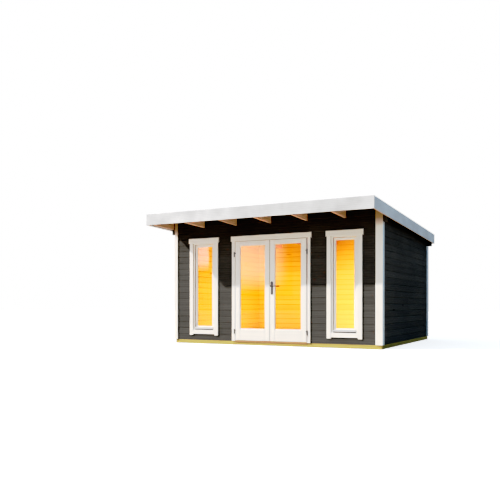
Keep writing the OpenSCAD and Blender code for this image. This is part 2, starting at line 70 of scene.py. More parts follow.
class Timber:
    """Faces of one piece of joinery, gathered board by board before they become a mesh."""

    def __init__(self):
        self.points, self.faces, self.grain, self.tone, self.finish = [], [], [], [], []
        self.solid()

    def solid(self):
        """Starts a closed solid of its own. Its faces share their corners with no other board."""
        self.known = {}

    def face(self, corners, grain, tone, finish=0):
        ids = []
        for p in corners:
            key = tuple(round(c, 6) for c in p)
            if key not in self.known:
                self.known[key] = len(self.points)
                self.points.append(tuple(p))
            ids.append(self.known[key])
        self.faces.append(ids)
        self.grain.extend(grain)
        self.tone.append(tone)
        self.finish.append(finish)

    def board(self, low, high, along, edge, place=None, finish=0, faces=None):
        """A sawn board from corner low to corner high with its arrises taken off, grain along one axis.

        Faces gives a flat face, named by its axis and side, another finish than the rest.
        """
        self.solid()
        low, high = Vector(low), Vector(high)
        u, v = [a for a in range(3) if a != along]
        slide_u, slide_v, shade = next_figure()
        thinnest = min(high[a] - low[a] for a in range(3))
        edge = min(edge, thinnest * 0.45)

        def corner(signs, flush):
            """A corner of the board, set in by the arris on every axis but the one where it is flush."""
            spot = Vector()
            for a in range(3):
                inset = 0 if a == flush else edge
                spot[a] = high[a] - inset if signs[a] > 0 else low[a] + inset
            return spot

        def add(spots, axis, side=0):
            on_end = axis == along
            if on_end:
                grain = [(p[u] + slide_u, p[v] * end_grain_stretch + slide_v) for p in spots]
            else:
                grain = [(p[along] + slide_u, p[u] + p[v] + slide_v) for p in spots]
            kind = (faces or {}).get((axis, side), finish)
            spots = [place(p) for p in spots] if place else spots
            self.face(spots, grain, shade - end_grain_shade if on_end else shade, kind)

        pairs = ((-1, -1), (-1, 1), (1, 1), (1, -1))
        for axis in range(3):
            b, c = [a for a in range(3) if a != axis]
            for side in (-1, 1):
                add([corner({axis: side, b: sb, c: sc}, axis) for sb, sc in pairs], axis, side)
            ends = ((-1, b), (-1, c), (1, c), (1, b))
            for sb, sc in pairs:
                arris = [corner({axis: end, b: sb, c: sc}, flush) for end, flush in ends]
                add(arris, b if along != b else c)
        for signs in itertools.product((-1, 1), repeat=3):
            add([corner(signs, a) for a in range(3)], u)

    def strip(self, outline, start, end, place, finishes=None):
        """A moulded length: an outline of (depth, height) points drawn along a line from start to end."""
        self.solid()
        slide_u, slide_v, shade = next_figure()
        run = 0.0
        for i, (a, b) in enumerate(zip(outline, outline[1:] + outline[:1])):
            step = math.dist(a, b)
            spots = [place(start, a), place(end, a), place(end, b), place(start, b)]
            grain = [(start, run), (end, run), (end, run + step), (start, run + step)]
            grain = [(u + slide_u, v + slide_v) for u, v in grain]
            self.face(spots, grain, shade, finishes[i] if finishes else 0)
            run += step
        for at, ring in ((start, outline[::-1]), (end, outline)):
            grain = [(p[0] + slide_u, p[1] * end_grain_stretch + slide_v) for p in ring]
            self.face([place(at, p) for p in ring], grain, shade - end_grain_shade)

    def piece(self, name, materials, replaces=(), body="house"):
        """The gathered faces as one mesh object that rides on a body in place of its CAD nodes."""
        mesh = bpy.data.meshes.new(name)
        mesh.from_pydata(self.points, [], self.faces)
        layer = mesh.uv_layers.new(name="grain")
        layer.data.foreach_set("uv", [n for uv in self.grain for n in uv])
        tones = mesh.attributes.new("tone", "FLOAT", "FACE")
        tones.data.foreach_set("value", self.tone)
        for material in materials:
            mesh.materials.append(material)
        mesh.polygons.foreach_set("material_index", self.finish)
        outwards = bmesh.new()
        outwards.from_mesh(mesh)
        bmesh.ops.recalc_face_normals(outwards, faces=outwards.faces)
        outwards.to_mesh(mesh)
        outwards.free()
        thing = added(name, mesh)
        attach(thing, body)
        if replaces:
            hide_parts(*replaces)


class Nodes:
    """A shader tree under construction, with short calls that add nodes to it and return their outputs."""

    def __init__(self, tree):
        self.tree = tree

    def feed(self, socket, value):
        """Links a socket to another node's output, or sets it to a number, a vector or a colour."""
        if isinstance(value, bpy.types.NodeSocket):
            self.tree.links.new(value, socket)
        else:
            socket.default_value = value

    def node(self, kind, feeds, **settings):
        """Adds a node and feeds its inputs, which are named or numbered. Gives its outputs."""
        made = self.tree.nodes.new("ShaderNode" + kind)
        for name, value in settings.items():
            setattr(made, name, value)
        for name, value in feeds.items():
            self.feed(made.inputs[name], value)
        return made.outputs

    def math(self, operation, *values):
        return self.node("Math", dict(enumerate(values)), operation=operation)[0]

    def stretched(self, spot, scales):
        return self.node("VectorMath", {0: spot, 1: scales}, operation="MULTIPLY")[0]

    def position(self):
        """X, Y and Z on the house."""
        return self.node("SeparateXYZ", {0: self.node("TexCoord", {})["Object"]})

    def remap(self, value, low, high, to_low=0.0, to_high=1.0, **settings):
        ends = {"Value": value, "From Min": low, "From Max": high, "To Min": to_low, "To Max": to_high}
        return self.node("MapRange", ends, **settings)[0]

    def mix(self, amount, first, second):
        """Mixes two colours, each a tuple or an output, by an amount."""
        first, second = ((*c, 1) if isinstance(c, tuple) else c for c in (first, second))
        return self.node("Mix", {0: amount, 6: first, 7: second}, data_type="RGBA")[2]

    def shaded(self, colour, factor):
        return self.node("VectorMath", {0: colour, "Scale": factor}, operation="SCALE")[0]

    def noise(self, scale, detail, stretch=None, coordinates="Object"):
        spot = self.node("TexCoord", {})[coordinates]
        if stretch:
            spot = self.stretched(spot, stretch)
        return self.node("TexNoise", {"Vector": spot, "Scale": scale, "Detail": detail})[0]


def grain_group():
    """Shader group of sawn pine: long growth bands, short fibres and scattered knots."""
    group = bpy.data.node_groups.new("pine figure", "ShaderNodeTree")
    for name, usual in (("Bands per metre", 22), ("Knots", 0.5), ("Wander", 0.16)):
        socket = group.interface.new_socket(name, in_out="INPUT", socket_type="NodeSocketFloat")
        socket.default_value = usual
    for name in ("Bands", "Fibres", "Knot", "Height"):
        group.interface.new_socket(name, in_out="OUTPUT", socket_type="NodeSocketFloat")
    nodes = Nodes(group)
    given = group.nodes.new("NodeGroupInput").outputs
    results = group.nodes.new("NodeGroupOutput").inputs
    grain_map = nodes.node("UVMap", {}, uv_map="grain")["UV"]

    # A knot is the core of a long cell, in the cells that the draw picks.
    cell_spot = nodes.stretched(grain_map, (1.5, 8.0, 1))
    cells = nodes.node("TexVoronoi", {"Vector": cell_spot, "Scale": 1.0, "Randomness": 0.9})
    core = nodes.remap(cells["Distance"], 0.16, 0.05, interpolation_type="SMOOTHSTEP")
    drawn = nodes.node("SeparateColor", {0: cells["Color"]})[0]
    knot = nodes.math("MULTIPLY", core, nodes.math("LESS_THAN", drawn, given["Knots"]))

    # The bands run along the board, wander a little and bend round the knots.
    drift_spot = nodes.stretched(grain_map, (0.7, 6.0, 1))
    drift = nodes.node("TexNoise", {"Vector": drift_spot, "Scale": 1.0, "Detail": 2.0})[0]
    across = nodes.node("SeparateXYZ", {0: grain_map})[1]
    bent = nodes.math("MULTIPLY_ADD", drift, given["Wander"], across)
    bent = nodes.math("MULTIPLY_ADD", knot, 0.05, bent)
    wave = nodes.math("FRACT", nodes.math("MULTIPLY", bent, given["Bands per metre"]))
    band = nodes.math("POWER", wave, 2.2)

    # Fibres are short and very fine. Bands stand a little proud and knots are sunk.
    fibre_spot = nodes.stretched(grain_map, (7.0, 420.0, 1))
    fibre_feeds = {"Vector": fibre_spot, "Scale": 1.0, "Detail": 3.0, "Roughness": 0.65}
    fibre = nodes.node("TexNoise", fibre_feeds)[0]
    rise = nodes.math("MULTIPLY_ADD", band, 0.45, fibre)
    rise = nodes.math("MULTIPLY_ADD", knot, -0.4, rise)
    for socket, value in zip(results, (band, fibre, knot, rise)):
        nodes.feed(socket, value)
    return group


pine_figure = grain_group()


class Finish(Nodes):
    """A material under construction: its Principled shader and the nodes before it."""

    def __init__(self, name, roughness, specular=0.3):
        self.material = bpy.data.materials.new(name)
        self.material.use_nodes = True
        super().__init__(self.material.node_tree)
        self.shader = self.tree.nodes["Principled BSDF"]
        self.give("Roughness", roughness)
        self.give("Specular IOR Level", specular)

    def give(self, name, value):
        self.feed(self.shader.inputs[name], value)

    def figure(self, bands, knots, wander=0.16):
        feeds = {"Bands per metre": bands, "Knots": knots, "Wander": wander}
        return self.node("Group", feeds, node_tree=pine_figure)

    def grained(self, figure, pale, dark, fibre_ends, streaks):
        """Growth bands from pale to dark, streaked by the fibres."""
        colour = self.mix(figure["Bands"], pale, dark)
        return self.shaded(colour, self.remap(figure["Fibres"], *fibre_ends, *streaks))

    def tone(self, depth):
        """Board-to-board shade, as a factor around 1."""
        shade = self.node("Attribute", {}, attribute_name="tone")["Fac"]
        return self.remap(shade, -1, 1, 1 - depth, 1 + depth)

    def bump(self, height, distance, strength=1.0):
        feeds = {"Height": height, "Distance": distance, "Strength": strength}
        self.give("Normal", self.node("Bump", feeds)[0])


def bare_wood(name, pale, dark, knot, bands=22, knots=0.5, wander=0.16, depth=0.12, roughness=0.62):
    """Planed or sawn timber without paint: pale wood, darker growth bands and brown knots."""
    wood = Finish(name, roughness)
    figure = wood.figure(bands, knots, wander)
    fibre_ends = (0.3, 0.7)
    colour = wood.grained(figure, pale, dark, fibre_ends, (0.86, 1.1))
    colour = wood.mix(figure["Knot"], colour, knot)
    wood.give("Base Color", wood.shaded(colour, wood.tone(depth)))
    wood.give("Roughness", wood.remap(figure["Fibres"], *fibre_ends, roughness + 0.1, roughness - 0.08))
    wood.bump(figure["Height"], 0.0006)
    return wood.material


treated = bare_wood("treated timber", (0.43, 0.345, 0.125), (0.32, 0.255, 0.082), (0.20, 0.15, 0.05),
                    knots=0.6)
# The side beams take a darker copy of the treated timber: painted shade for the shaded sides near the
# ground.
shaded_treated = bare_wood("treated timber with painted shade", (0.24, 0.20, 0.075), (0.18, 0.15, 0.05), (0.10, 0.08, 0.03),
                 knots=0.6)


def beams(name, nodes, along, wood):
    timber = Timber()
    for node in nodes:
        timber.board(*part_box(node), along, beam_edge)
    timber.piece(name, [wood], nodes)


beams("long_base_beams", ["front_base_beam", "back_base_beam"], 0, treated)
beams("side_base_beams", ["left_base_beam", "right_base_beam"], 1, shaded_treated)

low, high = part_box("floor_joists")
joist_pitch = (high.x - low.x - joist_w) / (joist_count - 1)
timber = Timber()
for i in range(joist_count):
    left = low.x + i * joist_pitch
    timber.board((left, low.y, low.z), (left + joist_w, high.y, high.z), 1, beam_edge)
timber.piece("joist_row", [treated], ["floor_joists"])

# Floor: planed pine boards with tongues and grooves, nailed across the joists and left bare.
# They run the length of the room from side to side, with a fine open joint between two boards.

floor_board_w = 0.096
board_joint = 0.0012
fine_edge = 0.0015
pine = bare_wood("bare pine", (0.80, 0.49, 0.19), (0.66, 0.34, 0.10), (0.30, 0.12, 0.04), depth=0.10,
                 roughness=0.5)


def board_rows(start, end, board_w):
    """Near and far edge of every board from start to end, with joints between."""
    count = round((end - start) / board_w)
    step = (end - start) / count
    for i in range(count):
        near = start + i * step
        yield near + board_joint / 2, near + step - board_joint / 2


low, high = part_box("floor")
timber = Timber()
for near, far in board_rows(low.y, high.y, floor_board_w):
    timber.board((low.x, near, low.z), (high.x, far, high.z), 0, fine_edge)
timber.piece("floor_boards", [pine], ["floor"])

# Log walls: tongued and grooved logs of spruce, laid course on course with an open V joint on both faces.
# Outside they carry an anthracite stain that lets the grain through, inside the wood is bare.
# The frames cover the log ends at the doorway and the window holes. High on the wall, in the roof's shadow,
# the joints are paler: painted light.

course_h = 0.114
joint_w = 0.010
joint_d = 0.005
log_arris = 0.0025
course_slack = 1e-4
level_slack = 1e-6
frame_fit = 0.003
roof_shadow_x = (-1.80, -1.70)
roof_shadow_z = (1.08, 1.18)
base_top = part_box("front_base_beam")[1].z
front_low, front_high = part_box("front_wall_left")
house_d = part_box("back_wall")[1].y - front_low.y
log_t = front_high.y - front_low.y


def log_stain(name, pale, dark, knot, in_roof_shadow=None):
    """Matt water-based stain on spruce: an even grey with a faint figure, a little raised along the fibres.

    The last colour is taken high on the wall and away from the left corner, where the roof's shadow falls:
    painted light that makes the joints paler there.
    """
    stain = Finish(name, 0.70, 0.08)
    figure = stain.figure(26, 0.25, 0.10)
    fibre_ends = (0.3, 0.7)
    colour = stain.grained(figure, pale, dark, fibre_ends, (0.88, 1.10))
    colour = stain.mix(figure["Knot"], colour, knot)
    # Painted light: the joints turn paler in the roof's shadow.
    if in_roof_shadow:
        spot = stain.position()
        inwards, upwards = stain.remap(spot["X"], *roof_shadow_x), stain.remap(spot["Z"], *roof_shadow_z)
        colour = stain.mix(stain.math("MULTIPLY", inwards, upwards), colour, in_roof_shadow)
    colour = stain.shaded(colour, stain.tone(0.06))
    cloud = stain.remap(stain.noise(1.3, 4), 0.35, 0.65, 0.93, 1.06)
    stain.give("Base Color", stain.shaded(colour, cloud))
    stain.give("Roughness", stain.remap(figure["Fibres"], *fibre_ends, 0.78, 0.62))
    stain.bump(figure["Height"], 0.0006)
    return stain.material


anthracite = log_stain("anthracite stain", (0.090, 0.088, 0.085), (0.076, 0.074, 0.071),
                       (0.046, 0.044, 0.042))
joint_stain = log_stain("stain in the joints", (0.064, 0.062, 0.059), (0.054, 0.052, 0.050),
                        (0.034, 0.033, 0.031), in_roof_shadow=(0.108, 0.104, 0.099))
wall_pine = bare_wood("bare wall pine", (0.87, 0.64, 0.24), (0.82, 0.55, 0.17), (0.50, 0.25, 0.07),
                      bands=30, knots=0.12, wander=0.08, depth=0.07)
joint_pine = bare_wood("pine in the joints", (0.62, 0.34, 0.07), (0.55, 0.28, 0.05), (0.40, 0.18, 0.05),
                       bands=30, knots=0.1, wander=0.08, depth=0.07)
log_finishes = [anthracite, wall_pine, joint_stain, joint_pine]


def log_outline(z0, z1, open_low, open_high):
    """Section of one log from the outside in, with V joints and eased arrises, and each face's finish."""
    half, soft = joint_w / 2, log_arris
    outer, kinds = [(0, z0)], []
    if open_low:
        outer = [(joint_d, z0), (soft * 0.4, z0 + half - soft * 0.3), (0, z0 + half + soft * 0.7)]
        kinds = [2, 0]
    kinds.append(0)
    if open_high:
        outer += [(0, z1 - half - soft * 0.7), (soft * 0.4, z1 - half + soft * 0.3), (joint_d, z1)]
        kinds += [0, 2]
    else:
        outer.append((0, z1))
    inner = [(log_t - d, z) for d, z in outer[::-1]]
    return outer + inner, kinds + [1] + [k + 1 for k in kinds[::-1]] + [1]


def log_run(timber, spans, z0, z1, place):
    """Courses from z0 to z1, each laid as logs over the given stretches of wall, with joints between."""
    first = math.floor((z0 - base_top) / course_h + course_slack)
    last = math.ceil((z1 - base_top) / course_h - course_slack)
    for k in range(first, last):
        bed, top = base_top + k * course_h, base_top + (k + 1) * course_h
        open_low, open_high = bed > z0 - level_slack and k > 0, top < z1 + level_slack
        outline, finishes = log_outline(max(bed, z0), min(top, z1), open_low, open_high)
        for start, end in spans:
            timber.strip(outline, start, end, place, finishes)


def along_front(at, spot):
    return Vector((at, front_low.y + spot[0], spot[1]))


def along_back(at, spot):
    return Vector((at, front_low.y + house_d - spot[0], spot[1]))


def long_wall(node, place, window=None):
    low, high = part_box(node)
    timber = Timber()
    if window:
        hole_low, hole_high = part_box(window)
        hole_x = (hole_low.x - frame_fit, hole_high.x + frame_fit)
        log_run(timber, [(low.x, hole_x[0]), (hole_x[1], high.x)], low.z, high.z, place)
        log_run(timber, [hole_x], low.z, hole_low.z - frame_fit, place)
        log_run(timber, [hole_x], hole_high.z + frame_fit, high.z, place)
    else:
        log_run(timber, [(low.x, high.x)], low.z, high.z, place)
    timber.piece(node + "_logs", log_finishes, [node])


long_wall("front_wall_left", along_front, "left_window_frame")
long_wall("front_wall_right", along_front, "right_window_frame")
long_wall("front_wall_over_door", along_front)
long_wall("back_wall", along_back)

# Side walls: the same logs, with the uppermost ones sawn to the fall of the roof.
# The roof falls by one course from front to back. The right wall lies in shade, so its joints take the face
# stain: painted light that makes them fainter.

fall = course_h / house_d
slope = math.atan(fall)


def side_wall(node, sign, joints):
    low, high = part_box(node)
    face_x = high.x if sign > 0 else low.x
    eaves = high.z - fall * (high.y - low.y)
    level = base_top + course_h * math.floor((eaves - base_top) / course_h)

    def along_side(at, spot):
        return Vector((face_x - sign * spot[0], at, spot[1]))

    timber = Timber()
    log_run(timber, [(low.y, high.y)], low.z, level, along_side)
    timber.solid()
    rake = [(low.y, level), (high.y, level), (high.y, eaves), (low.y, high.z)]
    outer = [Vector((face_x, y, z)) for y, z in rake]
    inner = [Vector((face_x - sign * log_t, y, z)) for y, z in rake]
    timber.face(outer, rake, 0)
    timber.face(inner[::-1], rake, 0, 1)
    for i in range(4):
        j = (i + 1) % 4
        timber.face([outer[i], inner[i], inner[j], outer[j]], [(0, 0), (log_t, 0), (log_t, 1), (0, 1)], 0)
    timber.piece(node + "_logs", [anthracite, wall_pine, joints, joint_pine], [node])


side_wall("left_wall", -1, joint_stain)
# The shaded right wall's joints take the paler face stain, as painted light.
side_wall("right_wall", 1, anthracite)

# Top logs: the front and back walls end in a log that reaches past the side walls for the outer rafters.
# Each rafter lies in a notch sawn into it, and short lengths of log fill the wall between the rafters.

rafter_count = 7
rafter_w = 0.040
rafter_h = 0.140
notch_d = 0.014
notch_play = 0.0005
top_play = 0.002
front_log_low, front_log_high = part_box("front_top_log")
rafter_z = front_log_low.z + course_h - notch_d
rafter_pitch = (front_log_high.x - front_log_low.x - rafter_w) / (rafter_count - 1)
rafter_x = [front_log_low.x + rafter_w / 2 + i * rafter_pitch for i in range(rafter_count)]


def top_log(node, place, notch_z):
    low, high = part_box(node)
    joint_z = low.z + course_h
    side_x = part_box("right_wall")[1].x
    timber = Timber()

    def length(start, end, z0, z1, open_low, open_high):
        """A length of log, with the stain all round where it stands outside the side walls."""
        outline, finishes = log_outline(z0, z1, open_low, open_high)
        cuts = [start] + [x for x in (-side_x, side_x) if start < x < end] + [end]
        for a, b in zip(cuts, cuts[1:]):
            outdoors = abs(a + b) / 2 > side_x
            timber.strip(outline, a, b, place, [f // 2 * 2 for f in finishes] if outdoors else finishes)

    length(low.x, high.x, low.z, notch_z, True, False)
    for left, right in zip(rafter_x, rafter_x[1:]):
        start = left + rafter_w / 2 + notch_play
        end = right - rafter_w / 2 - notch_play
        length(start, end, notch_z, joint_z, False, True)
        length(start, end, joint_z, high.z - top_play, True, False)
    timber.piece(node + "_timber", log_finishes, [node])


top_log("front_top_log", along_front, rafter_z - fall * log_t)
top_log("back_top_log", along_back, rafter_z - course_h)

# Rafters: planed pine planks on edge, notched over both top logs and left bare.
# They run down the slope from the front fascia to the back fascia.

front_overhang = 0.810
back_overhang = 0.170
fascia_t = 0.019
deck_x = front_log_high.x
deck_y0 = -front_overhang + fascia_t
deck_y1 = house_d / math.cos(slope) + back_overhang - fascia_t
rafter_pine = bare_wood("rafter pine", (0.92, 0.61, 0.43), (0.82, 0.48, 0.31), (0.40, 0.19, 0.10),
                        bands=20, knots=0.7)


def on_slope(spot):
    """Turns a point of the roof's space, Y down the slope and Z square to it, to its place on the house."""
    turned = Matrix.Rotation(-slope, 3, "X") @ Vector(spot)
    return turned + Vector((0, front_low.y, rafter_z))


timber = Timber()
for x in rafter_x:
    left, right = x - rafter_w / 2, x + rafter_w / 2
    timber.board((left, deck_y0, 0), (right, deck_y1, rafter_h), 1, beam_edge, on_slope)
timber.piece("rafter_row", [rafter_pine], ["rafters"])

# Roof boards: thin tongued pine boards nailed across the rafters, with a fine joint from board to board.
# They are bare over the room; where their undersides show in the overhangs they take the dark stain as
# painted shade.

deck_t = 0.018
deck_board_w = 0.110
deck_top = rafter_h + deck_t
timber = Timber()
for near, far in board_rows(deck_y0, deck_y1, deck_board_w):
    over_room = 0 < (near + far) / 2 < house_d
    # Outside the room the dark stain stands for the shade under the eaves.
    kind = 1 if over_room else 0
    timber.board((-deck_x, near, rafter_h), (deck_x, far, deck_top), 0, beam_edge, on_slope, kind)
timber.piece("deck_boards", [anthracite, pine], ["roof_boards"])

# Roof felt: strips of bitumen felt with a slate grit face, rolled out across the slope from the back up.
# Every strip laps over the one below it, and the joints are pressed down.

felt_t = 0.004
felt_strip_w = 0.95
felt_lap = 0.08
lap_ease = 0.012
lap_top = 1.6 * felt_t

felt = Finish("slate grit felt", 0.92, 0.2)
grit = felt.node("TexVoronoi", {"Vector": felt.node("TexCoord", {})["Object"], "Scale": 260})
speck = felt.node("SeparateColor", {0: grit["Color"]})[0]
colour = felt.mix(speck, (0.030, 0.031, 0.034), (0.085, 0.087, 0.092))
wash = felt.remap(felt.noise(0.9, 5), 0.35, 0.7, 0.88, 1.10)
felt.give("Base Color", felt.shaded(colour, wash))
felt.bump(grit["Distance"], 0.0012, 0.8)

timber = Timber()
felt_step = felt_strip_w - felt_lap
for i in range(math.ceil((deck_y1 - deck_y0) / felt_step)):
    far = deck_y1 - i * felt_step
    near = max(deck_y0, far - felt_strip_w)
    outline = [(near, deck_top), (far, deck_top), (far, deck_top + felt_t)]
    if i > 0:
        outline += [(far - lap_ease, deck_top + lap_top), (far - felt_lap, deck_top + felt_t)]
    outline.append((near, deck_top + felt_t))
    timber.strip(outline, -deck_x, deck_x, lambda at, spot: on_slope((at, *spot)))
timber.piece("felt_strips", [felt.material], ["roof_felt"])

# Fascia boards: wide planed boards with a thin white stain, screwed to the rafters' ends and outer sides.
# The stain has worn, so the grain shows as long grey streaks, and the side boards' lower edges are bare.

fascia_h = 0.200
fascia_drop = 0.027
# Painted light: the stain is lighter towards the left end of the roof.
lit_end_x = (-2.1, 0.2)
lit_end_gain = 1.22
fascia_screw_z = (0.030, 0.118)
fascia_screws = 8
fascia_screw_in = 0.10
screw_r = 0.0045
screw_rise = 0.0007
screw_foot = -0.001
dimple_foot = -0.0004


def white_stain(name, pale, dark, worn, whole):
    """Thin white stain on pine in blotches, partly wear and partly painted dappled shade, with painted
    light to the left.
    """
    wash = Finish(name, 0.55, 0.35)
    figure = wash.figure(34, 0.12, 0.05)
    colour = wash.grained(figure, pale, dark, (0.25, 0.75), (0.90, 1.06))
    colour = wash.mix(wash.remap(figure["Knot"], 0, 1, 0, 0.5), colour, (0.55, 0.50, 0.44))
    # The blotches are partly worn stain and partly painted dappled shade.
    wear_and_dappled_shade = wash.remap(wash.noise(1.0, 4, (2.6, 3.0, 1), "UV"), 0.35, 0.65, worn, whole)
    colour = wash.shaded(colour, wear_and_dappled_shade)
    colour = wash.shaded(colour, wash.remap(wash.position()["X"], *lit_end_x, lit_end_gain, 1.0))
    wash.give("Base Color", wash.shaded(colour, wash.tone(0.03)))
    wash.bump(figure["Height"], 0.0005)
    return wash.material


end_stain = white_stain("white stain", (0.60, 0.61, 0.63), (0.49, 0.50, 0.525), 0.72, 1.10)
# The side boards take a cooler blue-grey copy of the stain: painted shade of the sky-lit side.
cool_shade_stain = white_stain("white stain cooled as painted shade", (0.575, 0.625, 0.675), (0.47, 0.515, 0.56), 0.87, 0.97)


def turned(timber, profile, centre, axis, place=None, finish=0, tone=0, sides=12):
    """A small turned piece: a profile of (radius, height) points, closed at both ends."""
    timber.solid()
    axis = Vector(axis)
    one = axis.orthogonal().normalized()
    two = axis.cross(one)
    turns = [k * math.tau / sides for k in range(sides)]
    rings = []
    for radius, height in profile:
        middle = Vector(centre) + axis * height
        ring = [middle + (one * math.cos(t) + two * math.sin(t)) * radius for t in turns]
        rings.append([place(p) for p in ring] if place else ring)
    grain = [(0, 0), (0.01, 0), (0.01, 0.01), (0, 0.01)]
    for lower, upper in zip(rings, rings[1:]):
        for k in range(sides):
            m = (k + 1) % sides
            timber.face([lower[k], lower[m], upper[m], upper[k]], grain, tone, finish)
    for ring in (rings[0][::-1], rings[-1]):
        timber.face(ring, [(0.002 * k, 0) for k in range(sides)], tone, finish)


def screw(timber, centre, axis, place=None, finish=0):
    """A countersunk screw head, painted over with its board, with a dimple for the driver."""
    rim = ((screw_r, screw_foot), (screw_r, screw_rise * 0.4), (screw_r * 0.8, screw_rise))
    dimple = ((screw_r * 0.4, screw_rise), (screw_r * 0.25, dimple_foot))
    turned(timber, rim + dimple, centre, axis, place, finish, tone=-1.5)


def spaced(start, end, margin, count):
    """Even places from start to end, the outer ones a margin in from the ends."""
    return [start + margin + k * (end - start - 2 * margin) / (count - 1) for k in range(count)]


def fascia(node, span_x, span_y, along, out):
    low, high = zip(span_x, span_y, (-fascia_drop, fascia_h - fascia_drop))
    timber = Timber()
    on_side = along == 1
    timber.board(low, high, along, beam_edge, on_slope, faces={(2, -1): 1} if on_side else None)
    axis = 1 - along
    face = high[axis] if out > 0 else low[axis]
    normal = [0, 0, 0]
    normal[axis] = out
    stops = spaced(*span_y, fascia_screw_in, fascia_screws) if on_side else rafter_x
    for at in stops:
        for height in fascia_screw_z:
            spot = [at, at, height]
            spot[axis] = face
            screw(timber, spot, normal, on_slope)
    finishes = [cool_shade_stain, rafter_pine] if on_side else [end_stain]
    timber.piece(node + "_board", finishes, [node])


roof_x = deck_x + fascia_t
fascia("front_fascia", (-roof_x, roof_x), (deck_y0 - fascia_t, deck_y0), 0, -1)
fascia("back_fascia", (-roof_x, roof_x), (deck_y1, deck_y1 + fascia_t), 0, 1)
fascia("left_fascia", (-roof_x, -deck_x), (deck_y0, deck_y1), 1, -1)
fascia("right_fascia", (deck_x, roof_x), (deck_y0, deck_y1), 1, 1)

# Corner boards: planed boards painted white, screwed over the ends of the logs, two to a corner.
# The boards on the front and back run up to the roof, those on the sides stop under the top logs.
# High under the eaves the paint is warm brown, painted bounce light from the bare rafters; on the right,
# away from the sun, a cool grey, painted shade.

trim_t = 0.020
trim_edge = 0.0025
board_gap = 0.0005
corner_w = 0.122
corner_narrow_w = 0.065
corner_screws = 6
corner_screw_end = 0.07
corner_screw_side = 0.020
eaves_bounce_z = (2.05, 2.19)


def trim_paint(name, pale, dark):
    """White paint that keeps a trace of the grain, a little soiled, and warm brown high under the eaves as
    painted bounce light.
    """
    paint = Finish(name, 0.42, 0.4)
    figure = paint.figure(12, 0.15)
    fibre_ends = (0.25, 0.75)
    colour = paint.grained(figure, pale, dark, fibre_ends, (0.965, 1.02))
    colour = paint.shaded(colour, paint.tone(0.025))
    soil = paint.remap(paint.noise(2.2, 5), 0.45, 0.75, 0.0, 0.10)
    colour = paint.mix(soil, colour, (0.60, 0.56, 0.49))
    # Painted bounce light: the paint turns warm brown towards the roof.
    colour = paint.mix(paint.remap(paint.position()["Z"], *eaves_bounce_z), colour, (0.50, 0.34, 0.21))
    paint.give("Base Color", colour)
    paint.give("Roughness", paint.remap(figure["Fibres"], *fibre_ends, 0.48, 0.36))
    paint.bump(figure["Height"], 0.00025)
    return paint.material


white_paint = trim_paint("white paint", (0.86, 0.84, 0.80), (0.83, 0.81, 0.77))
# A cool grey copy of the white paint, painted shade for the right side boards away from the sun.
shade_side_paint = trim_paint("cool white paint with painted shade", (0.46, 0.54, 0.61), (0.43, 0.51, 0.58))


def corner_boards(node, sign, out, face_w, top_z):
    """A board that faces out along Y, and one behind its edge that faces the side with that sign of X."""
    low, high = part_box(node)
    side = high.x if sign > 0 else low.x
    face, back = (high.y, low.y) if out > 0 else (low.y, high.y)
    face_x, face_y = sorted((side, side - sign * face_w)), sorted((face, face - out * trim_t))
    side_x, side_y = sorted((side, side - sign * trim_t)), sorted((face - out * (trim_t + board_gap), back))
    # Side boards on the right take the painted shade.
    shade_finish = 1 if sign > 0 else 0
    timber = Timber()
    timber.board(*zip(face_x, face_y, (low.z, high.z)), 2, trim_edge)
    timber.board(*zip(side_x, side_y, (low.z, top_z)), 2, trim_edge, finish=shade_finish)
    for rise in spaced(low.z, top_z, corner_screw_end, corner_screws):
        for x in (face_x[0] + corner_screw_side, face_x[1] - corner_screw_side):
            screw(timber, (x, face, rise), (0, out, 0))
        screw(timber, (side, sum(side_y) / 2, rise), (sign, 0, 0), finish=shade_finish)
    finishes = [white_paint, shade_side_paint] if shade_finish else [white_paint]
    timber.piece(node + "_pair", finishes, [node])


back_log_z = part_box("back_top_log")[0].z
corner_boards("front_left_corner_boards", -1, -1, corner_narrow_w, front_log_low.z)
corner_boards("front_right_corner_boards", 1, -1, corner_w, front_log_low.z)
corner_boards("back_left_corner_boards", -1, 1, corner_w, back_log_z)
corner_boards("back_right_corner_boards", 1, 1, corner_w, back_log_z)

# Door frame and stops: painted jambs and head set into the doorway, and thin stops that the leaves shut on.
# The threshold is an oiled plank over the base beam, with a nose that sheds rain in front of it.

jamb_t = 0.040
stop_w = 0.016
frame_edge = 0.002
nose_reach = 0.014
nose_arris = 0.004
oiled = bare_wood("oiled threshold", (0.44, 0.29, 0.16), (0.33, 0.21, 0.10), (0.20, 0.10, 0.05),
                  roughness=0.5)


def bars(timber, low, high, left_w, right_w, foot_h, top_h, gap, edge, inner=0):
    """Uprights, a foot rail if it has a height, and a top rail. Inner is the uprights' finish inside."""
    x0, x1 = low.x + left_w, high.x - right_w
    timber.board(low, (x0, high.y, high.z), 2, edge, faces={(0, 1): inner})
    timber.board((x1, low.y, low.z), high, 2, edge, faces={(0, -1): inner})
    rails = ((low.z, low.z + foot_h),) if foot_h else ()
    for z0, z1 in rails + ((high.z - top_h, high.z),):
        timber.board((x0 + gap, low.y, z0), (x1 - gap, high.y, z1), 0, edge)


def doorway_lining(node, name, board_w, edge):
    timber = Timber()
    bars(timber, *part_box(node), board_w, board_w, 0, board_w, board_gap, edge)
    timber.piece(name, [white_paint], [node])


def along_x(at, spot):
    return Vector((at, *spot))


doorway_lining("door_frame", "door_jambs", jamb_t, trim_edge)
doorway_lining("door_stops", "door_stop_strips", stop_w, frame_edge)

